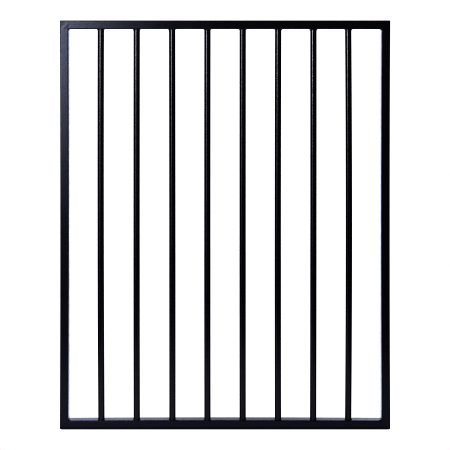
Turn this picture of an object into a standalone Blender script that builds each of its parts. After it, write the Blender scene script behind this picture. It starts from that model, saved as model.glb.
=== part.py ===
# Window security bar: a welded grille panel that drops into a window opening.
#
# A rectangular frame of four mitred square steel tubes holds eight upright
# round steel tubes.  Every joint is a weld, and each weld's own metal is a
# separate solid: four mitre butt welds, ground flush on the frame's faces,
# four fillets in the frame's inside corners, and a fillet round each end of
# each bar.
#
# Axes: +X across the window (to the right seen from outside), -Y is the
# outside face, +Z is up.  Origin: middle of the underside of the bottom rail.
# Units: metres.

import math
from typing import NamedTuple

import bmesh
import bpy
from mathutils import Matrix, Vector


class BarFillet(NamedTuple):
    """Size of the weld round one end of a bar."""

    leg_x: float    # from the bar outwards, along the rail
    leg_y: float    # from the bar outwards, towards the rail's front and back
    rise: float     # how far the weld runs along the bar


class CornerLegs(NamedTuple):
    """Size of the weld in one inside corner of the frame."""

    rail: float
    stile: float


# ---------------------------------------------------------------- dimensions

PANEL_WIDTH = 0.7588        # 29-7/8 in, drops into a 30 in opening
PANEL_HEIGHT = 0.9398       # 37 in

FRAME_TUBE = 0.01905        # 3/4 in square tube
FRAME_WALL = 0.0012         # 18 gauge
FRAME_CORNER = 0.0018       # outside corner radius of the tube
FRAME_CORNER_STEPS = 6      # facets in each rounded corner

BAR_COUNT = 8
BAR_DIAMETER = 0.014
BAR_WALL = 0.0012
BAR_FACETS = 40

GAP = 0.0003                # clearance between neighbouring solids

MITRE_WELD = 0.0012         # thickness of the butt weld, across the mitre

TOP_BAR_FILLET = BarFillet(leg_x=0.0040, leg_y=0.0016, rise=0.0050)
BOTTOM_BAR_FILLET = BarFillet(leg_x=0.0014, leg_y=0.0014, rise=0.0024)
SIDE_RISE_SHARE = 0.55      # rise at the bar's front and back, as a share of rise
BAR_FILLET_FACETS = 24      # facets round a bar-end weld
BAR_FILLET_STEPS = 4        # facets in its hollow face

TOP_CORNER_LEGS = CornerLegs(rail=0.0040, stile=0.0040)
BOTTOM_CORNER_LEGS = CornerLegs(rail=0.0034, stile=0.0032)
CORNER_FILLET_STEPS = 2 * BAR_FILLET_STEPS

FILLET_TOE = 0.00035        # blunt edge of a fillet, so that it has no feather

SHARP_ANGLE = math.radians(32)  # edges that turn more than this are shaded sharp
EMPTY_SIZE = 0.05

# ------------------------------------------------------------ derived values

HALF_WIDTH = PANEL_WIDTH / 2
TOP_RAIL_UNDERSIDE = PANEL_HEIGHT - FRAME_TUBE

BAR_RADIUS = BAR_DIAMETER / 2
CLEAR_WIDTH = PANEL_WIDTH - 2 * FRAME_TUBE
CLEAR_GAP = (CLEAR_WIDTH - BAR_COUNT * BAR_DIAMETER) / (BAR_COUNT + 1)
BAR_PITCH = CLEAR_GAP + BAR_DIAMETER

# Offsets along a tube's axis, from the mitre plane to the weld's face and to
# the tube's own end.  A length across the mitre is root two longer along it.
MITRE_WELD_REACH = MITRE_WELD / 2 * math.sqrt(2)
TUBE_END = (MITRE_WELD / 2 + GAP) * math.sqrt(2)

# Inner radius of a bar-end weld: it clears the bar all round.
BAR_FILLET_SEAT = BAR_RADIUS / math.cos(math.pi / BAR_FACETS) + GAP

# A corner fillet stays on the flat between the tubes' rounded edges.
CORNER_FILLET_DEPTH = FRAME_TUBE - 2 * FRAME_CORNER

RIGHT, LEFT = Vector((1.0, 0.0, 0.0)), Vector((-1.0, 0.0, 0.0))
UP, DOWN = Vector((0.0, 0.0, 1.0)), Vector((0.0, 0.0, -1.0))
BACK = Vector((0.0, 1.0, 0.0))

LOW_LEFT = Vector((-HALF_WIDTH, 0.0, 0.0))
LOW_RIGHT = Vector((HALF_WIDTH, 0.0, 0.0))
HIGH_LEFT = Vector((-HALF_WIDTH, 0.0, PANEL_HEIGHT))
HIGH_RIGHT = Vector((HALF_WIDTH, 0.0, PANEL_HEIGHT))

# ----------------------------------------------------------------- materials
#
# Each piece has a material of its own, named after it.

POWDER_COLOUR = (0.0075, 0.0078, 0.0098, 1.0)
WELD_COLOUR = (0.0082, 0.0085, 0.0105, 1.0)


def coating(name, colour, roughness):
    made = bpy.data.materials.new(name)
    made.use_nodes = True
    made.diffuse_color = colour
    settings = {
        "Base Color": colour,
        "Roughness": roughness,
        "Metallic": 0.0,
        "Coat Weight": 0.3,
        "Coat Roughness": 0.2,
    }
    shader = made.node_tree.nodes["Principled BSDF"]
    for socket, value in settings.items():
        shader.inputs[socket].default_value = value
    return made


def powder_coat(piece, roughness):
    return coating(piece + "_powder_coat", POWDER_COLOUR, roughness)


def weld_coat(piece, roughness):
    return coating(piece + "_coat", WELD_COLOUR, roughness)


# ------------------------------------------------------------- scene objects


def clear_scene():
    for obj in list(bpy.data.objects):
        bpy.data.objects.remove(obj, do_unlink=True)


def add_object(name, shape, parent, look, x=0.0):
    """Turns a finished bmesh into an object; x is where its origin stands."""
    bmesh.ops.recalc_face_normals(shape, faces=shape.faces[:])
    mesh = bpy.data.meshes.new(name)
    shape.to_mesh(mesh)
    shape.free()
    mesh.materials.append(look)
    mesh.shade_smooth()
    mesh.set_sharp_from_angle(angle=SHARP_ANGLE)
    obj = bpy.data.objects.new(name, mesh)
    obj.location.x = x
    obj.parent = parent
    bpy.context.scene.collection.objects.link(obj)


def add_empty(name, parent=None):
    obj = bpy.data.objects.new(name, None)
    obj.empty_display_size = EMPTY_SIZE
    obj.parent = parent
    bpy.context.scene.collection.objects.link(obj)
    return obj


# --------------------------------------------------------------- mesh helpers


def add_ring(shape, points):
    return [shape.verts.new(point) for point in points]


def bridge(shape, first, second):
    """Quads between two closed rings of vertices with the same count."""
    for i in range(len(first)):
        j = (i + 1) % len(first)
        shape.faces.new((first[i], first[j], second[j], second[i]))


def bridge_in_loop(shape, rings):
    """Bridges each ring to the next one, and the last back to the first."""
    for i, this in enumerate(rings):
        bridge(shape, this, rings[(i + 1) % len(rings)])


# ------------------------------------------------------------------ sections


def rounded_square(inset, radius):
    """(depth, across) points round the frame tube's section.

    depth is along Y, centred.  across runs from the tube's outside face (0)
    to its inside face (FRAME_TUBE).  inset moves the outline in.
    """
    low, high = inset + radius, FRAME_TUBE - inset - radius
    centres = ((high, high), (low, high), (low, low), (high, low))
    points = []
    for quarter, (depth, across) in enumerate(centres):
        for step in range(FRAME_CORNER_STEPS + 1):
            turn = 0.5 * math.pi * (quarter + step / FRAME_CORNER_STEPS)
            points.append(
                (
                    depth + radius * math.cos(turn) - FRAME_TUBE / 2,
                    across + radius * math.sin(turn),
                )
            )
    return points


TUBE_OUTSIDE = rounded_square(inset=0.0, radius=FRAME_CORNER)
TUBE_INSIDE = rounded_square(inset=FRAME_WALL, radius=FRAME_CORNER - FRAME_WALL)


def fillet_section(inner, reach, top, steps):
    """(out, height) points round a hollow-faced, right-angled weld section.

    It sits GAP above the seat, runs out from inner to reach, and climbs to
    top at inner.  Both tips of its hollow face are blunted by FILLET_TOE.
    """
    toe_height = GAP + FILLET_TOE
    points = [(inner, GAP), (reach, GAP)]
    for step in range(steps + 1):
        # A quarter ellipse, tangent to both of the surfaces it joins.
        turn = 0.5 * math.pi * step / steps
        points.append(
            (
                reach - (reach - inner - FILLET_TOE) * math.sin(turn),
                toe_height + (top - toe_height) * (1 - math.cos(turn)),
            )
        )
    points.append((inner, top))
    return points


# ------------------------------------------------------------- frame members
#
# A frame member is drawn lying along +X with its outside face on z = 0 and
# its inside face on z = FRAME_TUBE, both ends cut on a 45 degree mitre, and
# is then turned into its place.


def member_place(corner, along, inward):
    """The matrix that takes a member's own axes to its place in the panel."""
    place = Matrix((along, inward.cross(along), inward)).transposed().to_4x4()
    place.translation = corner
    return place


def add_frame_member(name, length, corner, along, inward, parent):
    shape = bmesh.new()

    def start(section):
        return add_ring(
            shape, [(across + TUBE_END, depth, across) for depth, across in section]
        )

    def end(section):
        return add_ring(
            shape, [(length - across - TUBE_END, depth, across) for depth, across in section]
        )

    bridge_in_loop(
        shape, [start(TUBE_OUTSIDE), end(TUBE_OUTSIDE), end(TUBE_INSIDE), start(TUBE_INSIDE)]
    )
    shape.transform(member_place(corner, along, inward))
    add_object(name, shape, parent, powder_coat(name, roughness=0.3))


def add_frame(parent):
    members = (
        # name, length, corner it starts from, direction along it, way inwards
        ("bottom_rail", PANEL_WIDTH, LOW_LEFT, RIGHT, UP),
        ("right_stile", PANEL_HEIGHT, LOW_RIGHT, UP, LEFT),
        ("top_rail", PANEL_WIDTH, HIGH_RIGHT, LEFT, DOWN),
        ("left_stile", PANEL_HEIGHT, HIGH_LEFT, DOWN, RIGHT),
    )
    for name, length, corner, along, inward in members:
        add_frame_member(name, length, corner, along, inward, parent)


# -------------------------------------------------------------- corner welds


def add_mitre_weld(name, corner, along_rail, along_stile, parent):
    """The butt weld in a mitre: the tube's own section, run a little way
    along both tubes, and ground flush with their faces."""
    shape = bmesh.new()

    def section_ring(section, on_rail, on_stile):
        return add_ring(
            shape,
            [
                corner
                + BACK * depth
                + along_rail * (across + on_rail)
                + along_stile * (across + on_stile)
                for depth, across in section
            ],
        )

    bridge_in_loop(
        shape,
        [
            section_ring(TUBE_OUTSIDE, MITRE_WELD_REACH, 0.0),
            section_ring(TUBE_OUTSIDE, 0.0, 0.0),
            section_ring(TUBE_OUTSIDE, 0.0, MITRE_WELD_REACH),
            section_ring(TUBE_INSIDE, 0.0, MITRE_WELD_REACH),
            section_ring(TUBE_INSIDE, 0.0, 0.0),
            section_ring(TUBE_INSIDE, MITRE_WELD_REACH, 0.0),
        ],
    )
    add_object(name, shape, parent, weld_coat(name, roughness=0.34))


def add_corner_fillet(name, corner, along_rail, along_stile, legs, parent):
    """Weld metal in the frame's inside corner: a hollow-faced triangle in the
    panel's plane, run from front to back between the tubes' rounded edges."""
    shape = bmesh.new()
    inside = corner + (along_rail + along_stile) * FRAME_TUBE
    section = fillet_section(
        inner=GAP, reach=legs.rail, top=legs.stile, steps=CORNER_FILLET_STEPS
    )
    front, back = [
        add_ring(
            shape,
            [
                inside + along_rail * out + along_stile * height + BACK * depth
                for out, height in section
            ],
        )
        for depth in (-CORNER_FILLET_DEPTH / 2, CORNER_FILLET_DEPTH / 2)
    ]
    bridge(shape, front, back)
    shape.faces.new(front)
    shape.faces.new(back)
    add_object(name, shape, parent, weld_coat(name, roughness=0.38))


def add_corner_welds(parent):
    corners = (
        # name, outer corner, way along the rail, way along the stile, legs
        ("bottom_left", LOW_LEFT, RIGHT, UP, BOTTOM_CORNER_LEGS),
        ("bottom_right", LOW_RIGHT, LEFT, UP, BOTTOM_CORNER_LEGS),
        ("top_left", HIGH_LEFT, RIGHT, DOWN, TOP_CORNER_LEGS),
        ("top_right", HIGH_RIGHT, LEFT, DOWN, TOP_CORNER_LEGS),
    )
    for name, corner, along_rail, along_stile, legs in corners:
        add_mitre_weld(name + "_mitre_weld", corner, along_rail, along_stile, parent)
        add_corner_fillet(
            name + "_corner_fillet", corner, along_rail, along_stile, legs, parent
        )


# ------------------------------------------------------- bars and their welds


def add_bar(name, x, parent):
    shape = bmesh.new()
    low, high = FRAME_TUBE + GAP, TOP_RAIL_UNDERSIDE - GAP
    bore = BAR_RADIUS - BAR_WALL

    def circle(radius, z):
        turns = [2 * math.pi * i / BAR_FACETS for i in range(BAR_FACETS)]
        return add_ring(
            shape, [(radius * math.cos(turn), radius * math.sin(turn), z) for turn in turns]
        )

    bridge_in_loop(
        shape,
        [circle(BAR_RADIUS, low), circle(BAR_RADIUS, high), circle(bore, high), circle(bore, low)],
    )
    add_object(name, shape, parent, powder_coat(name, roughness=0.24), x)


def add_bar_end_weld(name, x, rail_face, away, size, parent):
    """The fillet round one end of a bar.

    It is a ring: a concave right-angled section carried round the bar, its
    legs and rise varying between the rail's direction and its front and back.
    away is +1 where the bar leaves the rail upwards and -1 downwards.
    """
    shape = bmesh.new()
    # An ellipse through the two legs gives the weld's width all round.
    radius_x = BAR_RADIUS + size.leg_x
    radius_y = BAR_RADIUS + size.leg_y
    rings = []
    for i in range(BAR_FILLET_FACETS):
        turn = 2 * math.pi * i / BAR_FILLET_FACETS
        cosine, sine = math.cos(turn), math.sin(turn)
        reach = radius_x * radius_y / math.hypot(radius_y * cosine, radius_x * sine)
        rise = size.rise * (SIDE_RISE_SHARE + (1 - SIDE_RISE_SHARE) * cosine**2)
        section = fillet_section(
            inner=BAR_FILLET_SEAT, reach=reach, top=GAP + rise, steps=BAR_FILLET_STEPS
        )
        rings.append(
            add_ring(
                shape,
                [
                    (out * cosine, out * sine, rail_face + away * height)
                    for out, height in section
                ],
            )
        )
    bridge_in_loop(shape, rings)
    add_object(name, shape, parent, weld_coat(name, roughness=0.36), x)


def add_bars(bars, welds):
    ends = (
        # name, height of the rail's face, way off the rail, weld size
        ("top", TOP_RAIL_UNDERSIDE, -1.0, TOP_BAR_FILLET),
        ("bottom", FRAME_TUBE, 1.0, BOTTOM_BAR_FILLET),
    )
    for index in range(BAR_COUNT):
        name = f"bar_{index + 1}"
        x = (index - (BAR_COUNT - 1) / 2) * BAR_PITCH
        add_bar(name, x, bars)
        for end, rail_face, away, size in ends:
            add_bar_end_weld(f"{name}_{end}_weld", x, rail_face, away, size, welds)


# --------------------------------------------------------------------- build


def build():
    clear_scene()
    panel = add_empty("panel")
    frame = add_empty("frame", panel)
    bars = add_empty("bars", panel)
    welds = add_empty("welds", panel)

    add_frame(frame)
    add_corner_welds(welds)
    add_bars(bars, welds)


build()
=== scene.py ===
import math

import bmesh
import bpy
import numpy as np
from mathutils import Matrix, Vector, noise


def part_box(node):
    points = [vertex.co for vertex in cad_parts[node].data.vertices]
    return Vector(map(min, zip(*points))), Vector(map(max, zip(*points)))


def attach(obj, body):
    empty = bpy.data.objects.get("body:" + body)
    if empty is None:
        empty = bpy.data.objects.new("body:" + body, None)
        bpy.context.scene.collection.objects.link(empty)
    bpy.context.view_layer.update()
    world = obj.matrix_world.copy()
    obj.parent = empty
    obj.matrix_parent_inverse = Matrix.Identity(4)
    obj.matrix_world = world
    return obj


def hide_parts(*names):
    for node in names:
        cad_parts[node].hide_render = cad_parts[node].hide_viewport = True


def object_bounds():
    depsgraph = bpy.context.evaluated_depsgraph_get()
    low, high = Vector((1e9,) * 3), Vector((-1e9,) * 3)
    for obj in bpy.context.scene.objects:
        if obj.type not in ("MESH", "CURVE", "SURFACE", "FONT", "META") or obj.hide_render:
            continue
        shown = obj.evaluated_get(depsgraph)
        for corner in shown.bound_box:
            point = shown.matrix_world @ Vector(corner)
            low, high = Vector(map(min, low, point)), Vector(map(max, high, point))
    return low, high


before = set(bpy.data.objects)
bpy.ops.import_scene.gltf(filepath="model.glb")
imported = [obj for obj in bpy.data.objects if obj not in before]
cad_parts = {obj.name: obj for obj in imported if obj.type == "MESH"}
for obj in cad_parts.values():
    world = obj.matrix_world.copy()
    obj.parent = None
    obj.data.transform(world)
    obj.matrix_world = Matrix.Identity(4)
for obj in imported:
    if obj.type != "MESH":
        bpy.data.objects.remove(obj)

CAD_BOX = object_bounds()

# ----------------------------------------------------------------------------
# Sizes: the panel's, the tube's and the bars' read from the frame; the tube's corners, wall and proud amounts given.
# ----------------------------------------------------------------------------

LOW, HIGH = CAD_BOX
SPREAD = 0.00035           # the coat and the grinder leave each side this much proud
WIDTH = HIGH.x - LOW.x + 2 * SPREAD
HEIGHT = HIGH.z - LOW.z
HALF = WIDTH / 2
TUBE = HIGH.y - LOW.y
CORNER = 0.0018            # outside radius of the square tube
WALL = 0.0012
GROUND_CORNER = 0.0011     # the frame's outer corners, rounded by the grinder
FLAT = TUBE / 2 - CORNER   # half of a tube face's flat part
PROUD_SIDE, PROUD_TOP = 0.00030, 0.00035

BARS = 8


def bar_axis(number):
    low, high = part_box(f"bar_{number}")
    return (low.x + high.x) / 2, (high.x - low.x) / 2


BAR_RADIUS = bar_axis(1)[1]
FOOT_Z = TUBE              # upper face of the bottom rail
HEAD_Z = HEIGHT - TUBE     # under face of the top rail

# How far each bar stands off its true line, in mm: at its head, its middle and
# its foot.  Welding draws long thin bars like this.
BAR_DRIFT = {
    1: (-1.11, -1.56, 0.09),
    2: (0.06, -0.21, 0.22),
    3: (0.13, 0.68, 0.83),
    4: (0.16, -0.17, 0.21),
    5: (0.07, -0.18, -0.06),
    6: (0.22, -0.46, -0.13),
    7: (0.04, 0.01, -0.54),
    8: (-1.29, 0.49, -1.29),
}
STILE_BOW = {"left_stile": 0.00095, "right_stile": 0.00115}


def bar_x(number, z):
    """Where a bar's axis is at height z, drawn through its three stand-offs."""
    head, middle, foot = (v / 1000 for v in BAR_DRIFT[number])
    t = (z - FOOT_Z) / (HEAD_Z - FOOT_Z)
    drift = foot * (1 - t) * (1 - 2 * t) + middle * 4 * t * (1 - t) + head * t * (2 * t - 1)
    return bar_axis(number)[0] + drift


def crown(x):
    """How far the bottom rail's upper face is drawn up by the bars' welds."""
    return 0.0013 * max(0.0, 1 - (abs(x) / (HALF - TUBE)) ** 2.1)


def rail_lift(x, y):
    """The same at depth y: the rail is rolled a little, lower at the front."""
    return crown(x) * (0.73 + 0.27 * y / (TUBE / 2))


def wobble(x, y, z, size, seed=0.0):
    """Smooth noise of about -1 to 1, with features of the given size."""
    return noise.noise(Vector((x / size + seed * 17.3, y / size - seed * 7.1, z / size + seed * 3.7)))


def outward(x, z):
    """Moves a point of the frame out a little more the nearer it is to the
    panel's outer edge, where the steel was ground and coated last."""
    side = (abs(x) - (HALF - TUBE)) / TUBE
    if side > 0:
        x += math.copysign(PROUD_SIDE * side, x)
    top = (z - (HEIGHT - TUBE)) / TUBE
    if top > 0:
        z += PROUD_TOP * top
    return x, z


def recede(y):
    """How far a tube's rounded edge falls below its face at depth y."""
    over = abs(y) - FLAT
    if over <= 0:
        return 0.0
    over = min(over, CORNER * 0.999)
    return CORNER - math.sqrt(CORNER * CORNER - over * over)


# ----------------------------------------------------------------------------
# Mesh helpers.
# ----------------------------------------------------------------------------


def mesh_object(name, verts, faces, sharp=38.0):
    mesh = bpy.data.meshes.new(name)
    mesh.from_pydata([tuple(v) for v in verts], [], faces)
    mesh.validate(clean_customdata=False)
    bm = bmesh.new()
    bm.from_mesh(mesh)
    bmesh.ops.remove_doubles(bm, verts=bm.verts[:], dist=1e-7)
    bmesh.ops.recalc_face_normals(bm, faces=bm.faces[:])
    bm.to_mesh(mesh)
    bm.free()
    mesh.shade_smooth()
    mesh.set_sharp_from_angle(angle=math.radians(sharp))
    obj = bpy.data.objects.new(name, mesh)
    bpy.context.scene.collection.objects.link(obj)
    return obj


def torus_grid(rings):
    """Vertices and quads of rings that close on themselves both ways."""
    rows, cols = len(rings), len(rings[0])
    verts = [p for ring in rings for p in ring]
    faces = []
    for i in range(rows):
        k = (i + 1) % rows
        for j in range(cols):
            m = (j + 1) % cols
            faces.append((i * cols + j, i * cols + m, k * cols + m, k * cols + j))
    return verts, faces


def capped_grid(rings):
    """Vertices and faces of rings in a row, with a fan on each end."""
    rows, cols = len(rings), len(rings[0])
    verts = [p for ring in rings for p in ring]
    faces = []
    for i in range(rows - 1):
        for j in range(cols):
            m = (j + 1) % cols
            faces.append(
                (i * cols + j, i * cols + m, (i + 1) * cols + m, (i + 1) * cols + j)
            )
    for start in (0, (rows - 1) * cols):
        centre = len(verts)
        ring = np.array([verts[start + j] for j in range(cols)])
        verts.append(tuple(ring.mean(0)))
        for j in range(cols):
            faces.append((start + j, start + (j + 1) % cols, centre))
    return verts, faces


# ----------------------------------------------------------------------------
# The frame's square tubes.
# ----------------------------------------------------------------------------

ROUND_STEPS, FLAT_STEPS = 10, 8


def tube_outline(inset, radius):
    """(depth, across, normal depth, normal across) round a tube's section."""
    low, high = inset, TUBE - inset
    corners = (
        (high - radius, high - radius, 0.0),
        (low + radius, high - radius, 0.5 * math.pi),
        (low + radius, low + radius, math.pi),
        (high - radius, low + radius, 1.5 * math.pi),
    )
    points = []
    for index, (depth, across, start) in enumerate(corners):
        for step in range(ROUND_STEPS + 1):
            turn = start + 0.5 * math.pi * step / ROUND_STEPS
            c, s = math.cos(turn), math.sin(turn)
            points.append((depth + radius * c - TUBE / 2, across + radius * s, c, s))
        following = corners[(index + 1) % 4]
        turn = following[2]
        c, s = math.cos(turn), math.sin(turn)
        first = points[-1]
        last = (following[0] + radius * c - TUBE / 2, following[1] + radius * s)
        for step in range(1, FLAT_STEPS):
            f = step / FLAT_STEPS
            points.append(
                (first[0] + (last[0] - first[0]) * f, first[1] + (last[1] - first[1]) * f, c, s)
            )
    return points


def ground_round(a, b):
    """Rounds the frame's outer corner in its own plane, as the grinder does."""
    r = GROUND_CORNER
    if a < r and b < r:
        reach = math.hypot(r - a, r - b)
        if reach > r:
            return r - (r - a) * r / reach, r - (r - b) * r / reach
    return a, b


def stations(length, reserve):
    """Places along a tube, close together by its ends."""
    near = [0.0, 0.0002, 0.0004, 0.0006, 0.0008, 0.0010, 0.0012, 0.0015, 0.0020, 0.0028]
    near += [0.004, 0.006, 0.0085, 0.012, 0.017, 0.024, 0.032]
    span = length - 2 * reserve
    middle = max(3, int((span - 2 * near[-1]) / 0.009))
    spots = [n / span for n in near]
    low, high = spots[-1], 1 - spots[-1]
    spots += [low + (high - low) * i / middle for i in range(1, middle)]
    spots += [1 - n / span for n in reversed(near)]
    return spots


def frame_tube(node, corner, along, inward, length):
    """A tube with both ends mitred, that bows a little and isn't quite flat."""
    corner, along, inward = Vector(corner), Vector(along), Vector(inward)
    depth_axis = Vector((0.0, 1.0, 0.0))
    bow = STILE_BOW.get(node, 0.0)
    seed = float(sum(ord(c) for c in node) % 97)
    end_gap = 0.00003

    def place(s, depth, across, nd, na, ripple):
        # Across and along are distances from the two outer faces here, so that
        # the outer corner can be rounded at either end.
        far = length - s
        if node == "bottom_rail":
            share = max(0.0, min(1.0, across / TUBE))
            across += rail_lift((corner + along * s).x, depth) * share
        if s < far:
            across, s = ground_round(across, s)
        else:
            across, far = ground_round(across, far)
            s = length - far
        across += bow * 4 * s * (length - s) / (length * length)
        if ripple:
            p = corner + along * s
            uneven = wobble(p.x, depth * 3, p.z, 0.035, seed) * 0.000035
            uneven += wobble(p.x, depth * 2, p.z, 0.011, seed + 5) * 0.000012
            fade = min(1.0, s / 0.01, (length - s) / 0.01)
            depth += nd * uneven * fade
            across += na * uneven * fade
        return corner + along * s + inward * across + depth_axis * depth

    rings = []
    outside = tube_outline(0.0, CORNER)
    inside = tube_outline(WALL, CORNER - WALL)
    for t in stations(length, 0.0):
        ring = []
        for depth, across, nd, na in outside:
            start = across + end_gap
            s = start + t * (length - 2 * start)
            ring.append(place(s, depth, across, nd, na, True))
        rings.append(ring)
    for t in (1.0, 0.75, 0.5, 0.25, 0.0):
        ring = []
        for depth, across, nd, na in inside:
            start = across + end_gap
            s = start + t * (length - 2 * start)
            ring.append(place(s, depth, across, nd, na, False))
        rings.append(ring)
    verts, faces = torus_grid(rings)
    verts = [(x, y, z) for (x, z), y in ((outward(v[0], v[2]), v[1]) for v in verts)]
    obj = mesh_object(node + "_tube", verts, faces)
    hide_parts(node)
    return obj


# ----------------------------------------------------------------------------
# Mitre welds: thin ground beads over the diagonal seams.
# ----------------------------------------------------------------------------


def mitre_bead(node, corner, rail, stile):
    corner, rail, stile = Vector(corner), Vector(rail), Vector(stile)
    depth_axis = Vector((0.0, 1.0, 0.0))
    seed = float(sum(ord(c) for c in node) % 89)
    half_width = 0.0021
    shares = [-1.0, -0.82, -0.6, -0.35, -0.15, 0.0, 0.15, 0.35, 0.6, 0.82, 1.0]

    def at(point, share, lift, edge):
        depth, across, nd, na = point
        reach = abs(share) * half_width * edge
        on_rail, on_stile = (across + reach, across) if share < 0 else (across, across + reach)
        # The seam's normal turns from one tube's to the other's across it.
        turn = 0.5 + 0.5 * max(-1.0, min(1.0, share / 0.15))
        n_rail, n_stile = na * turn, na * (1 - turn)
        size = math.sqrt(nd * nd + n_rail * n_rail + n_stile * n_stile) or 1.0
        on_rail, on_stile = ground_round(on_rail, on_stile)
        p = corner + rail * on_rail + stile * on_stile + depth_axis * depth
        n = (depth_axis * nd + rail * n_rail + stile * n_stile) / size
        return p + n * lift

    rings = []
    outline = tube_outline(0.0, CORNER)
    for point in outline:
        base = corner + rail * point[1] + stile * point[1] + depth_axis * point[0]
        edge = 1.0 + 0.16 * wobble(base.x, base.y, base.z, 0.004, seed)
        crown = 0.00006 * (1.0 + 0.5 * wobble(base.x, base.y, base.z, 0.0026, seed + 2))
        ring = []
        for share in shares:
            lift = (crown + 0.00003) * (1 - share * share) ** 1.5 - 0.00003
            ring.append(at(point, share, lift, edge))
        for share in reversed(shares):
            ring.append(at(point, share, -0.00045, edge))
        rings.append(ring)
    verts, faces = torus_grid(rings)
    verts = [(x, y, z) for (x, z), y in ((outward(v[0], v[2]), v[1]) for v in verts)]
    obj = mesh_object(node + "_ground_bead", verts, faces, 60)
    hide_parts(node)
    return obj


# ----------------------------------------------------------------------------
# Bars.
# ----------------------------------------------------------------------------

BAR_SIDES = 72


def round_bar(number):
    node = f"bar_{number}"
    low, high = FOOT_Z + 0.5 * crown(bar_x(number, FOOT_Z)) - 0.0002, HEAD_Z + 0.0002
    rows = 150
    rings = []
    for i in range(rows + 1):
        z = low + (high - low) * i / rows
        x0 = bar_x(number, z)
        # A slight fore-and-aft drift too, as on any thin welded bar.
        y0 = 0.0003 * math.sin(math.pi * i / rows) * math.sin(number * 2.3)
        ring = []
        for k in range(BAR_SIDES):
            turn = 2 * math.pi * k / BAR_SIDES
            c, s = math.cos(turn), math.sin(turn)
            r = BAR_RADIUS + 0.000018 * wobble(c * 0.01, s * 0.01, z, 0.02, number)
            ring.append((x0 + r * c, y0 + r * s, z))
        rings.append(ring)
    bore = BAR_RADIUS - WALL
    for i in range(12, -1, -1):
        z = low + (high - low) * i / 12
        x0 = bar_x(number, z)
        y0 = 0.0003 * math.sin(math.pi * i / 12) * math.sin(number * 2.3)
        rings.append(
            [
                (
                    x0 + bore * math.cos(2 * math.pi * k / BAR_SIDES),
                    y0 + bore * math.sin(2 * math.pi * k / BAR_SIDES),
                    z,
                )
                for k in range(BAR_SIDES)
            ]
        )
    verts, faces = torus_grid(rings)
    obj = mesh_object(node + "_round_tube", verts, faces)
    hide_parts(node)
    return obj


# ----------------------------------------------------------------------------
# Bar-end welds: hollow fillets laid in overlapping pools round the bar.
# ----------------------------------------------------------------------------


def pools(phase, seed):
    """The rise and fall of a bead laid as overlapping pools, -1 to 1."""
    phase += 0.16 * noise.noise(Vector((phase * 0.9, seed, 0.3)))
    part = phase - math.floor(phase)
    return 1.0 - 2.0 * abs(2.0 * part - 1.0) ** 2.2


def bar_weld(number, end):
    top = end == "top"
    node = f"bar_{number}_{end}_weld"
    seed = number * 3.7 + (1.3 if top else 8.9)

    def pick(k, spread):
        return 1.0 + spread * noise.noise(Vector((seed * 1.7 + k * 9.1, k * 3.3, seed)))

    if top:
        leg_left, leg_right = 0.0041 * pick(1, 0.6), 0.0043 * pick(2, 0.6)
        leg_side = 0.00150
        run_left, run_right = 0.0049 * pick(3, 0.5), 0.0049 * pick(4, 0.5)
        away = -1.0
        hollow = 0.96
        count = 12.0
    else:
        leg_left, leg_right = 0.0013 * pick(1, 0.6), 0.0014 * pick(2, 0.6)
        if number == 1:
            leg_left, leg_right = 0.0006, 0.0024
        leg_side = 0.00160
        run_left, run_right = 0.0023 * pick(3, 0.5), 0.0023 * pick(4, 0.5)
        away = 1.0
        hollow = 0.75
        count = 15.0
    x0 = bar_x(number, HEAD_Z - 0.003 if top else FOOT_Z + 0.003)

    def face(y):
        return HEAD_Z if top else FOOT_Z + rail_lift(x0, y)

    radius = BAR_RADIUS
    sides, steps = 112, 16
    rings = []
    for i in range(sides):
        turn = 2 * math.pi * i / sides
        c, s = math.cos(turn), math.sin(turn)
        side = 0.5 + 0.5 * c
        leg_x = leg_left + (leg_right - leg_left) * side
        run_x = run_left + (run_right - run_left) * side
        a, b = radius + leg_x, radius + leg_side
        reach = a * b / math.hypot(b * c, a * s)
        leg = reach - radius
        # Under the top rail it hardly climbs the bar's front; on the bottom rail
        # it is built up there.
        run = run_x * (0.20 + 0.80 * c * c if top else 1.50 - 0.50 * c * c)
        ripple = pools(count * i / sides, seed)
        uneven = wobble(c * 0.01, s * 0.01, 0.0, 0.0035, seed)
        leg *= 1.0 + 0.05 * ripple + 0.09 * uneven
        run *= 1.0 + 0.04 * ripple - 0.09 * uneven
        ring = []
        for k in range(steps + 1):
            t = k / steps
            arc = 0.5 * math.pi * t
            # Mostly a hollow quarter ellipse, part straight, as weld metal lies.
            r = leg * (hollow * (1 - math.sin(arc)) + (1 - hollow) * (1 - t))
            h = run * (hollow * (1 - math.cos(arc)) + (1 - hollow) * t)
            # Pools stand proud in the middle of the bead and die at its toes.
            swell = math.sin(math.pi * t) ** 0.8 * (0.00011 if top else 0.00005) * ripple
            nr, nh = run, leg
            size = math.hypot(nr, nh)
            r += swell * nr / size
            h += swell * nh / size
            y = (radius + r) * s
            drop = recede(y) * (1 - t) ** 2
            ring.append(
                (x0 + (radius + r) * c, y, face(y) + away * (h - drop))
            )
        y = (radius - 0.0003) * s
        ring.append((x0 + (radius - 0.0003) * c, y, face(y) + away * run))
        ring.append((x0 + (radius - 0.0003) * c, y, face(y) - away * 0.0003))
        y = (radius + leg) * s
        ring.append(
            (
                x0 + (radius + leg) * c,
                y,
                face(y) - away * (0.0003 + recede(y)),
            )
        )
        rings.append(ring)
    verts, faces = torus_grid(rings)
    obj = mesh_object(node + "_bead", verts, faces, 60)
    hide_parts(node)
    return obj


# ----------------------------------------------------------------------------
# Inside-corner fillets, each a short bead run from front to back.
# ----------------------------------------------------------------------------


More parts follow.
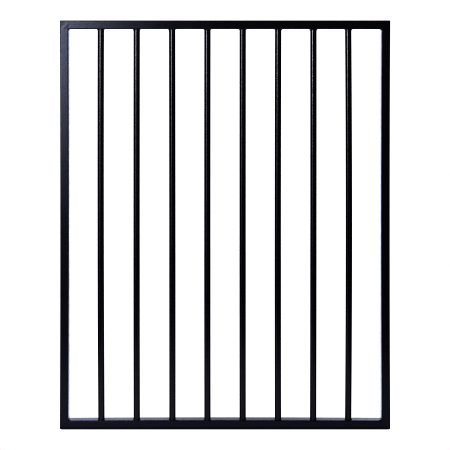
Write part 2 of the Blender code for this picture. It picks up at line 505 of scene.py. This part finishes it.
def inner_fillet(node, corner, rail, stile, leg_rail, leg_stile, hollow, front=None):
    """front is how far the bead reaches along each tube at the panel's front,
    if that is further than it does behind."""
    corner, rail, stile = Vector(corner), Vector(rail), Vector(stile)
    depth_axis = Vector((0.0, 1.0, 0.0))
    seed = float(sum(ord(c) for c in node) % 83)
    reach = TUBE / 2 - 0.00035
    rows, steps = 64, 18
    sink = 0.0004
    rings = []
    for i in range(rows + 1):
        f = -1 + 2 * i / rows
        # More stations by the ends, where the bead rounds off.
        y = reach * math.sin(0.5 * math.pi * f)
        blunt = 22 if front and y < 0 else 9
        shape = max(0.0, 1 - (abs(y) / (reach * 1.0005)) ** blunt) ** 0.42
        ripple = pools(y / 0.0021, seed)
        uneven = wobble(corner.x, y, corner.z, 0.004, seed)
        la, lb = leg_rail, leg_stile
        if front:
            fore = max(0.0, min(1.0, (0.001 - y) / 0.0085))
            fore = fore * fore * (3 - 2 * fore)
            la += (front[0] - la) * fore
            lb += (front[1] - lb) * fore
        la *= shape * (1 + 0.035 * ripple + 0.09 * uneven)
        lb *= shape * (1 + 0.035 * ripple - 0.08 * uneven)
        drop = recede(y)
        ring = [(-sink, -sink), (la, -sink)]
        for k in range(steps + 1):
            t = k / steps
            arc = 0.5 * math.pi * t
            a = la * (hollow * (1 - math.sin(arc)) + (1 - hollow) * (1 - t))
            b = lb * (hollow * (1 - math.cos(arc)) + (1 - hollow) * t)
            swell = math.sin(math.pi * t) * 0.00012 * ripple * shape
            ring.append((a + swell * 0.7, b + swell * 0.7))
        ring.append((-sink, lb))
        rings.append(
            [
                tuple(corner + rail * (a - drop) + stile * (b - drop) + depth_axis * y)
                for a, b in ring
            ]
        )
    verts, faces = capped_grid(rings)
    obj = mesh_object(node + "_bead", verts, faces, 60)
    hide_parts(node)
    return obj


# ----------------------------------------------------------------------------
# Materials.
# ----------------------------------------------------------------------------


class Nodes:
    """A short way to write a node tree."""

    def __init__(self, material):
        material.use_nodes = True
        self.tree = material.node_tree
        self.tree.nodes.clear()

    def add(self, kind, **settings):
        node = self.tree.nodes.new(kind)
        for key, value in settings.items():
            setattr(node, key, value)
        return node

    def link(self, source, target):
        self.tree.links.new(source, target)

    def feed(self, socket, value):
        if isinstance(value, bpy.types.NodeSocket):
            self.link(value, socket)
        else:
            socket.default_value = value

    def math(self, operation, a, b=None, c=None, clamp=False):
        node = self.add("ShaderNodeMath", operation=operation, use_clamp=clamp)
        for index, value in enumerate((a, b, c)):
            if value is not None:
                self.feed(node.inputs[index], value)
        return node.outputs[0]

    def noise(self, vector, scale, detail=2.0, rough=0.5, distort=0.0):
        node = self.add("ShaderNodeTexNoise", noise_dimensions="3D")
        self.feed(node.inputs["Vector"], vector)
        node.inputs["Scale"].default_value = scale
        node.inputs["Detail"].default_value = detail
        node.inputs["Roughness"].default_value = rough
        node.inputs["Distortion"].default_value = distort
        return node.outputs["Fac"]

    def span(self, value, low, high, to_low, to_high, smooth=False):
        node = self.add("ShaderNodeMapRange", clamp=True)
        if smooth:
            node.interpolation_type = "SMOOTHSTEP"
        self.feed(node.inputs["Value"], value)
        for name, number in (
            ("From Min", low),
            ("From Max", high),
            ("To Min", to_low),
            ("To Max", to_high),
        ):
            node.inputs[name].default_value = number
        return node.outputs["Result"]

    def blend(self, factor, first, second):
        node = self.add("ShaderNodeMix", data_type="RGBA")
        self.feed(node.inputs["Factor"], factor)
        self.feed(node.inputs["A"], first)
        self.feed(node.inputs["B"], second)
        return node.outputs["Result"]

    def mapped(self, vector, scale=(1, 1, 1), turn=(0, 0, 0)):
        node = self.add("ShaderNodeMapping")
        self.feed(node.inputs["Vector"], vector)
        node.inputs["Scale"].default_value = scale
        node.inputs["Rotation"].default_value = turn
        return node.outputs["Vector"]


def powder_coat(
    name, base, fleck, rough, peel, seams=False, weld=False, level=0.5, tint=(1.0, 1.0, 1.0), calm=1.0, limb=None
):
    """Black powder coat on steel: orange peel, fine fleck, uneven gloss, a little rub in upright streaks, and the
    grinder's marks where there are any."""
    material = bpy.data.materials.new(name)
    n = Nodes(material)
    where = n.add("ShaderNodeTexCoord").outputs["Object"]
    split = n.add("ShaderNodeSeparateXYZ")
    n.link(where, split.inputs[0])
    x, y, z = split.outputs

    cloud = n.noise(where, 14.0, 4.0, 0.6)           # the coat's thickness, 7 cm
    patch = n.noise(where, 90.0, 3.0, 0.55)          # gloss patches, about 1 cm
    grit = n.noise(where, 1500.0, 2.0, 0.6)          # dry spray, under 1 mm
    peel_wide = n.noise(where, 420.0, 2.0, 0.45)     # orange peel, 2.4 mm
    peel_fine = n.noise(where, 1050.0, 1.0, 0.4)     # orange peel, 1 mm

    # Rub marks run along the bars and are broken up by a wide noise.
    streak = n.noise(n.mapped(where, scale=(900.0, 900.0, 22.0)), 1.0, 2.0, 0.6)
    rub = n.math("MULTIPLY", n.span(streak, 0.60, 0.78, 0.0, 1.0, True),
                 n.span(n.noise(where, 22.0, 2.0, 0.5), 0.52, 0.66, 0.0, 1.0, True))

    colour = n.blend(n.span(cloud, 0.35, 0.65, 0.0, 1.0, True), base, fleck)
    dust = n.math("MULTIPLY", n.span(grit, 0.66, 0.80, 0.0, 1.0, True),
                  n.span(patch, 0.45, 0.62, 0.0, 0.55, True))
    colour = n.blend(dust, colour, (fleck[0] * 2.6, fleck[1] * 2.6, fleck[2] * 2.5, 1.0))

    roughness = n.span(cloud, 0.30, 0.70, rough - 0.025, rough + 0.03)
    roughness = n.math("ADD", roughness, n.span(patch, 0.30, 0.70, -0.022 * calm, 0.026 * calm))
    roughness = n.math("MULTIPLY_ADD", rub, 0.05, roughness)
    roughness = n.math("MULTIPLY_ADD", dust, 0.12, roughness)

    # Heights in metres.
    height = n.math("MULTIPLY", peel_wide, 0.0000080 * peel)
    height = n.math("MULTIPLY_ADD", peel_fine, 0.0000060 * peel, height)
    height = n.math("MULTIPLY_ADD", grit, 0.0000009, height)

    if seams:
        # Distance from the nearest mitre, in the panel's plane.
        a = n.math("SUBTRACT", HALF, n.math("ABSOLUTE", x))
        b = n.math("MINIMUM", z, n.math("SUBTRACT", HEIGHT, z))
        off = n.math("ABSOLUTE", n.math("SUBTRACT", a, b))
        near = n.span(n.math("MAXIMUM", a, b), TUBE, TUBE * 1.5, 1.0, 0.0, True)
        zone = n.math("MULTIPLY", n.span(off, 0.005, 0.017, 1.0, 0.0, True), near)
        sand = n.noise(n.mapped(where, scale=(260.0, 2600.0, 2600.0), turn=(0, 0.6, 0)), 1.0, 2.0, 0.7)
        height = n.math("MULTIPLY_ADD", n.math("MULTIPLY", sand, zone), 0.0000060, height)
        # The dressed weld isn't quite flat: dips and rises a few mm across.
        dressed = n.noise(n.mapped(where, scale=(1.0, 1.0, 1.0), turn=(0.3, 0.5, 0.2)), 165.0, 1.0, 0.4)
        height = n.math("MULTIPLY_ADD", n.math("MULTIPLY", dressed, zone), 0.00012, height)
        # The grinder was rocked along the seam, which left broad ripples across it.
        run = n.math("MULTIPLY", n.math("ADD", a, b), math.sqrt(0.5) * 2 * math.pi / RIPPLE)
        run = n.math("MULTIPLY_ADD", n.noise(where, 120.0, 1.0, 0.5), 2.4, run)
        ripple = n.math("SINE", n.math("ADD", run, RIPPLE_START))
        height = n.math("MULTIPLY_ADD", n.math("MULTIPLY", ripple, zone), 0.00010, height)
        roughness = n.math("MULTIPLY_ADD", n.math("MULTIPLY", zone, n.span(sand, 0.3, 0.7, 0.0, 1.0)), 0.05, roughness)
    if weld:
        lumps = n.noise(where, 650.0, 3.0, 0.6, 0.4)
        height = n.math("MULTIPLY_ADD", lumps, 0.000012, height)
        roughness = n.math("ADD", roughness, n.span(lumps, 0.35, 0.65, -0.02, 0.05))

    bump = n.add("ShaderNodeBump")
    bump.inputs["Strength"].default_value = 1.0
    bump.inputs["Distance"].default_value = 1.0
    n.link(height, bump.inputs["Height"])

    shader = n.add("ShaderNodeBsdfPrincipled")
    n.link(colour, shader.inputs["Base Color"])
    n.link(n.math("MINIMUM", n.math("MAXIMUM", roughness, 0.12), 0.9), shader.inputs["Roughness"])
    n.link(bump.outputs["Normal"], shader.inputs["Normal"])
    shader.inputs["Metallic"].default_value = 0.0
    shader.inputs["IOR"].default_value = 1.5
    if limb:
        # The coat's fine texture shades itself where it is seen edge on.
        facing = n.add("ShaderNodeLayerWeight").outputs["Facing"]
        gloss = n.span(facing, limb[0], limb[1], level, limb[2], True)
        # Painted highlight and shade: the reflection is made stronger high on the right and weaker near the foot,
        # standing in for how the light falls on the bars there.
        more = n.math("MULTIPLY", n.span(x, -0.05, 0.25, 0.0, 0.35, True), n.span(z, 0.12, 0.42, 0.0, 1.0, True))
        gloss = n.math("MULTIPLY", gloss, n.math("ADD", more, 1.0))
        gloss = n.math("MULTIPLY", gloss, n.span(z, 0.10, 0.30, 0.85, 1.0, True))
        n.link(gloss, shader.inputs["Specular IOR Level"])
    else:
        shader.inputs["Specular IOR Level"].default_value = level
    shader.inputs["Specular Tint"].default_value = (*tint, 1.0)
    out = n.add("ShaderNodeOutputMaterial")
    n.link(shader.outputs["BSDF"], out.inputs["Surface"])
    return material


RIPPLE = 0.0129            # from one ripple of a dressed mitre to the next
RIPPLE_START = -2 * math.pi * 0.0131 / RIPPLE - 2.0

FRAME_COAT = powder_coat(
    "frame_powder_coat", (0.0180, 0.0184, 0.0242, 1), (0.0216, 0.0220, 0.0290, 1), 0.29, 0.30, seams=True
)
BAR_COAT = powder_coat(
    "bar_powder_coat", (0.0160, 0.0163, 0.0205, 1), (0.0190, 0.0193, 0.0245, 1), 0.225, 0.05, level=0.82,
    tint=(1.05, 1.025, 0.89), calm=0.35, limb=(0.15, 0.38, 0.02)
)
WELD_COAT = powder_coat(
    "weld_powder_coat", (0.0165, 0.0168, 0.0220, 1), (0.0200, 0.0204, 0.0265, 1), 0.30, 0.36, weld=True
)

# ----------------------------------------------------------------------------
# Put the panel together.
# ----------------------------------------------------------------------------

RIGHT, LEFT = (1, 0, 0), (-1, 0, 0)
UP, DOWN = (0, 0, 1), (0, 0, -1)
LOW_LEFT, LOW_RIGHT = (-HALF, 0, 0), (HALF, 0, 0)
HIGH_LEFT, HIGH_RIGHT = (-HALF, 0, HEIGHT), (HALF, 0, HEIGHT)

pieces = []


def fit(obj, material):
    obj.data.materials.append(material)
    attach(obj, "root")
    pieces.append(obj)


for node, corner, along, inward, length in (
    ("bottom_rail", LOW_LEFT, RIGHT, UP, WIDTH),
    ("right_stile", LOW_RIGHT, UP, LEFT, HEIGHT),
    ("top_rail", HIGH_RIGHT, LEFT, DOWN, WIDTH),
    ("left_stile", HIGH_LEFT, DOWN, RIGHT, HEIGHT),
):
    fit(frame_tube(node, corner, along, inward, length), FRAME_COAT)

for place, corner, rail, stile in (
    ("bottom_left", LOW_LEFT, RIGHT, UP),
    ("bottom_right", LOW_RIGHT, LEFT, UP),
    ("top_left", HIGH_LEFT, RIGHT, DOWN),
    ("top_right", HIGH_RIGHT, LEFT, DOWN),
):
    fit(mitre_bead(place + "_mitre_weld", corner, rail, stile), FRAME_COAT)

for place, corner, rail, stile, leg_rail, leg_stile, hollow, front in (
    ("bottom_left", LOW_LEFT, RIGHT, UP, 0.0016, 0.0016, 0.85, (0.0061, 0.0050)),
    ("bottom_right", LOW_RIGHT, LEFT, UP, 0.0018, 0.0016, 0.75, (0.0071, 0.0052)),
    ("top_left", HIGH_LEFT, RIGHT, DOWN, 0.0040, 0.0038, 0.96, None),
    ("top_right", HIGH_RIGHT, LEFT, DOWN, 0.0044, 0.0044, 0.95, None),
):
    inside = Vector(corner) + (Vector(rail) + Vector(stile)) * TUBE
    fit(
        inner_fillet(place + "_corner_fillet", inside, rail, stile, leg_rail, leg_stile, hollow, front),
        WELD_COAT,
    )

for number in range(1, BARS + 1):
    fit(round_bar(number), BAR_COAT)
    fit(bar_weld(number, "top"), WELD_COAT)
    fit(bar_weld(number, "bottom"), WELD_COAT)

# ----------------------------------------------------------------------------
# Camera: square on to the panel and level with its top rail, as a view camera
# with its lens dropped, so that upright lines stay upright.
# ----------------------------------------------------------------------------

EYE = Vector((-0.0001, -TUBE / 2 - 2.300, 0.930))
LENS_DROP = -200.0 / 450.0

camera_data = bpy.data.cameras.new("camera")
camera = bpy.data.objects.new("camera", camera_data)
bpy.context.scene.collection.objects.link(camera)
camera.location = EYE
camera.rotation_mode = "QUATERNION"
camera.rotation_quaternion = Vector((0, 1, 0)).to_track_quat("-Z", "Y")
camera_data.sensor_width = 36.0
camera_data.lens = 36.0 * 999.5 / 450.0
camera_data.clip_start, camera_data.clip_end = 0.05, 60.0
bpy.context.scene.camera = camera


def by_station(curve, here, elsewhere):
    """Drives a value: one at the photo's station, another from anywhere else."""
    driver = curve.driver
    driver.type = "SCRIPTED"
    for letter, path_name in (("a", "location[0]"), ("b", "location[1]"), ("c", "location[2]")):
        variable = driver.variables.new()
        variable.name = letter
        variable.type = "SINGLE_PROP"
        target = variable.targets[0]
        target.id_type = "OBJECT"
        target.id = camera
        target.data_path = path_name
    driver.expression = (
        f"{here:.6f} if abs(a - {EYE.x:.6f}) + abs(b - {EYE.y:.6f}) + abs(c - {EYE.z:.6f}) < 0.001"
        f" else {elsewhere:.6f}"
    )


# The lens is dropped at this station only: from any other, it is centred.
by_station(camera_data.driver_add("shift_y"), LENS_DROP, 0.0)

# ----------------------------------------------------------------------------
# Studio: a pale floor and white surroundings, a soft box to the left of the
# camera, and a dim fill.  The room in front of the panel is dark at the
# photo's station.  From any other station the room lights are up, or the black
# coat would have nothing to mirror there and would show as a flat shape.
# ----------------------------------------------------------------------------

KEY_TINT = (1.0, 1.04, 1.27)     # the lamps are a little cold
BACK_TINT = (1.0, 1.005, 1.24)
FLOOR_TINT = (1.0, 1.0, 1.40)
ROOM_TINT = (1.0, 1.01, 1.08)


def plane(name, centre, size, facing):
    """A flat card; facing is the direction its lit side looks."""
    bm = bmesh.new()
    bmesh.ops.create_grid(bm, x_segments=24, y_segments=24, size=0.5)
    mesh = bpy.data.meshes.new(name)
    bm.to_mesh(mesh)
    bm.free()
    obj = bpy.data.objects.new(name, mesh)
    bpy.context.scene.collection.objects.link(obj)
    obj.scale = (size[0], size[1], 1.0)
    obj.location = centre
    obj.rotation_mode = "QUATERNION"
    obj.rotation_quaternion = Vector(facing).to_track_quat("Z", "Y")
    return obj


def ramps(n, value, stops):
    """A curve through (place, level) stops, as the product of its two slopes."""
    (a, b), (c, d) = stops
    rise = n.span(value, a, b, 0.0, 1.0)
    return n.math("MULTIPLY", rise, n.math("POWER", n.span(value, c, d, 1.0, 0.0), 1.12))


def card(name, centre, size, facing, strength, tint, across=None, upright=None, swell=None, dip=None):
    """A card that gives light.  across and upright say where along x and z it
    starts to glow, is full, starts to fade, and is dark; swell says the same of
    a stronger patch, and by how much; dip dims the card's middle."""
    obj = plane(name, centre, size, facing)
    material = bpy.data.materials.new(name + "_light")
    n = Nodes(material)
    split = n.add("ShaderNodeSeparateXYZ")
    n.link(n.add("ShaderNodeNewGeometry").outputs["Position"], split.inputs[0])
    power = n.math("MULTIPLY", strength, 1.0)
    if across:
        power = n.math("MULTIPLY", power, ramps(n, split.outputs[0], across))
    if upright:
        steep = n.span(split.outputs[0], -0.88, -0.62, 0.85, 1.42)
        power = n.math("MULTIPLY", power, n.math("POWER", ramps(n, split.outputs[2], upright), steep))
    if swell:
        more = n.math("MULTIPLY", ramps(n, split.outputs[0], swell[0]), ramps(n, split.outputs[2], swell[1]))
        power = n.math("MULTIPLY", power, n.math("MULTIPLY_ADD", more, swell[2], 1.0))
    if dip:
        off = n.math("ABSOLUTE", n.math("SUBTRACT", split.outputs[0], 0.10))
        power = n.math("MULTIPLY", power, n.span(off, *dip, True))
    light = n.add("ShaderNodeEmission")
    light.inputs["Color"].default_value = (*tint, 1.0)
    n.link(power, light.inputs["Strength"])
    out = n.add("ShaderNodeOutputMaterial")
    n.link(light.outputs[0], out.inputs["Surface"])
    obj.data.materials.append(material)
    obj.visible_camera = False
    obj.visible_shadow = False
    return obj


card(
    "key_softbox", (-0.72, -1.06, 0.88), (0.98, 1.34), (0, 1, 0), 14.0, KEY_TINT,
    across=((-1.20, -1.00), (-0.665, -0.29)), upright=((0.19, 0.97), (1.35, 1.52)),
    swell=(((-1.25, -0.90), (-0.74, -0.60)), ((0.36, 0.61), (0.69, 0.93)), 0.50),
)
# The key's far side reaches lower: only the round bars turn far enough to show it.
card(
    "key_low", (-1.02, -1.05, 0.36), (0.44, 0.76), (0, 1, 0), 3.7, KEY_TINT,
    across=((-1.22, -1.02), (-0.92, -0.82)), upright=((-0.02, 0.22), (0.41, 0.66)),
)
card(
    "white_backdrop", (-0.10, 1.7, 0.6), (1.9, 1.5), (0, -1, 0), 3.4, BACK_TINT,
    dip=(0.10, 0.45, 0.80, 1.0),
)
card(
    "right_fill", (1.3, -1.6, 1.6), (1.6, 1.2), (-1.3, 1.6, -0.9), 1.1, KEY_TINT,
    across=((0.7, 1.3), (1.4, 2.0)),
)

# The floor: pale to the eye.  What it throws back on the panel is bright near
# the panel and on the left, and falls away into the dark room in front.
floor = plane("floor", (0, 0, -0.0004), (30, 30), (0, 0, 1))
floor_coat = bpy.data.materials.new("pale_floor")
n = Nodes(floor_coat)
geometry = n.add("ShaderNodeNewGeometry")
split = n.add("ShaderNodeSeparateXYZ")
n.link(geometry.outputs["Position"], split.inputs[0])
path = n.add("ShaderNodeLightPath")
grain = n.noise(geometry.outputs["Position"], 40.0, 4.0, 0.6)
depth = n.math("ABSOLUTE", split.outputs[1])
width = n.math("ABSOLUTE", split.outputs[0])
# The panel stands on it: a thin painted contact shadow where they meet, and the faintest painted shade round about.
beside = n.span(width, HALF - 0.004, HALF - 0.001, 1.0, 0.0, True)
painted_contact_shadow = n.math("MULTIPLY", n.span(depth, TUBE / 2 - 0.0006, TUBE / 2 + 0.0008, 1.0, 0.0, True), beside)
painted_greying_shade = n.math("MULTIPLY", n.span(depth, 0.01, 0.09, 0.016, 0.0, True), beside)
level = n.math("MULTIPLY_ADD", grain, 0.006, 1.012)
level = n.math("SUBTRACT", level, painted_greying_shade)
level = n.math("MULTIPLY", level, n.math("MULTIPLY_ADD", painted_contact_shadow, -0.93, 1.0))
seen = n.add("ShaderNodeEmission")
seen.inputs["Color"].default_value = (1, 1, 1, 1)
n.link(level, seen.inputs["Strength"])
fade_front = n.span(split.outputs[1], -0.72, -0.23, 0.0, 1.0, True)
fade_right = n.span(split.outputs[0], -0.45, 0.45, 1.0, 0.68)
fade_right = n.math("ADD", fade_right, n.span(split.outputs[0], 0.30, 0.40, 0.0, 0.15))
fade_right = n.math("MAXIMUM", fade_right, n.span(split.outputs[1], 0.02, 0.12, 0.0, 1.0, True))
sides = n.span(n.math("ABSOLUTE", n.math("ADD", split.outputs[0], 0.08)), 0.50, 0.80, 1.0, 0.0, True)
# Behind the panel the floor is as bright as the backdrop; under its front edge
# it is in the panel's own shade.
behind = n.span(split.outputs[1], 0.012, 0.06, 1.0, 2.25, True)
shade = n.span(n.math("ABSOLUTE", split.outputs[1]), 0.008, 0.03, 0.12, 1.0, True)
shade = n.math("MAXIMUM", shade, n.span(width, HALF, HALF + 0.02, 0.12, 1.0, True))
back = n.add("ShaderNodeEmission")
n.link(n.blend(n.span(split.outputs[1], -0.02, 0.04, 0.0, 1.0), (*FLOOR_TINT, 1.0), (1.0, 1.0, 1.16, 1.0)),
       back.inputs["Color"])
glare = n.math("MULTIPLY", n.math("MULTIPLY", fade_front, fade_right), n.math("MULTIPLY", behind, shade))
outside = n.span(width, HALF + 0.01, HALF + 0.11, 1.0, 0.0, True)
outside = n.math("MAXIMUM", outside, n.span(split.outputs[1], -0.10, -0.02, 1.0, 0.0, True))
glare = n.math("MULTIPLY", glare, n.math("MULTIPLY", sides, outside))
raised = n.add("ShaderNodeValue")
by_station(raised.outputs[0].driver_add("default_value"), 0.0, 1.0)
lit = n.math("MULTIPLY_ADD", split.outputs[0], -0.45, 0.9)
lit = n.math("MULTIPLY_ADD", split.outputs[1], -0.60, lit)
# Far out to either side it is light enough to show the stiles' outer faces.
lit = n.math("MAXIMUM", lit, n.span(width, 2.5, 6.0, 0.3, 1.5, True))
lit = n.math("MULTIPLY", n.math("MINIMUM", lit, 1.9), shade)
room = n.add("ShaderNodeEmission")
room.inputs["Color"].default_value = (*ROOM_TINT, 1.0)
n.link(n.math("MULTIPLY", lit, raised.outputs[0]), room.inputs["Strength"])
n.link(n.math("MULTIPLY", glare, 1.20), back.inputs["Strength"])
thrown = n.add("ShaderNodeAddShader")
n.link(back.outputs[0], thrown.inputs[0])
n.link(room.outputs[0], thrown.inputs[1])
pick = n.add("ShaderNodeMixShader")
n.link(path.outputs["Is Camera Ray"], pick.inputs[0])
n.link(thrown.outputs[0], pick.inputs[1])
n.link(seen.outputs[0], pick.inputs[2])
out = n.add("ShaderNodeOutputMaterial")
n.link(pick.outputs[0], out.inputs["Surface"])
floor.data.materials.append(floor_coat)

world = bpy.data.worlds.new("studio")
bpy.context.scene.world = world
n = Nodes(world)
path = n.add("ShaderNodeLightPath")
white = n.add("ShaderNodeBackground")
white.inputs["Color"].default_value = (1, 1, 1, 1)
white.inputs["Strength"].default_value = 1.02
dark = n.add("ShaderNodeBackground")
dark.inputs["Color"].default_value = (*FLOOR_TINT, 1)
dark.inputs["Strength"].default_value = 0.085
room = n.add("ShaderNodeBackground")
room.inputs["Color"].default_value = (*ROOM_TINT, 1)
raised = n.add("ShaderNodeValue")
by_station(raised.outputs[0].driver_add("default_value"), 0.0, 1.0)
split = n.add("ShaderNodeSeparateXYZ")
n.link(n.add("ShaderNodeTexCoord").outputs["Generated"], split.inputs[0])
lit = n.math("MULTIPLY_ADD", split.outputs[0], -0.40, 0.75)
lit = n.math("MULTIPLY_ADD", split.outputs[1], -0.50, lit)
lit = n.math("MULTIPLY_ADD", n.math("MAXIMUM", split.outputs[2], 0.0), 2.0, lit)
lit = n.math("ADD", lit, n.span(n.math("ABSOLUTE", split.outputs[0]), 0.85, 1.0, 0.0, 1.0, True))
lit = n.math("MULTIPLY", n.math("MAXIMUM", lit, 0.1), raised.outputs[0])
# Whatever the station, a little comes from the right of the camera.
n.link(n.math("ADD", lit, n.span(split.outputs[0], 0.09, 0.17, 0.0, 0.17, True)), room.inputs["Strength"])
thrown = n.add("ShaderNodeAddShader")
n.link(dark.outputs[0], thrown.inputs[0])
n.link(room.outputs[0], thrown.inputs[1])
mix = n.add("ShaderNodeMixShader")
n.link(path.outputs["Is Camera Ray"], mix.inputs[0])
n.link(thrown.outputs[0], mix.inputs[1])
n.link(white.outputs[0], mix.inputs[2])
out = n.add("ShaderNodeOutputWorld")
n.link(mix.outputs[0], out.inputs["Surface"])

view = bpy.context.scene.view_settings
view.view_transform = "Standard"
view.look = "None"
view.exposure = 0.0
view.gamma = 0.5            # a contrasty print: deep blacks under clean whites
bpy.context.scene.cycles.pixel_filter_type = "BOX"
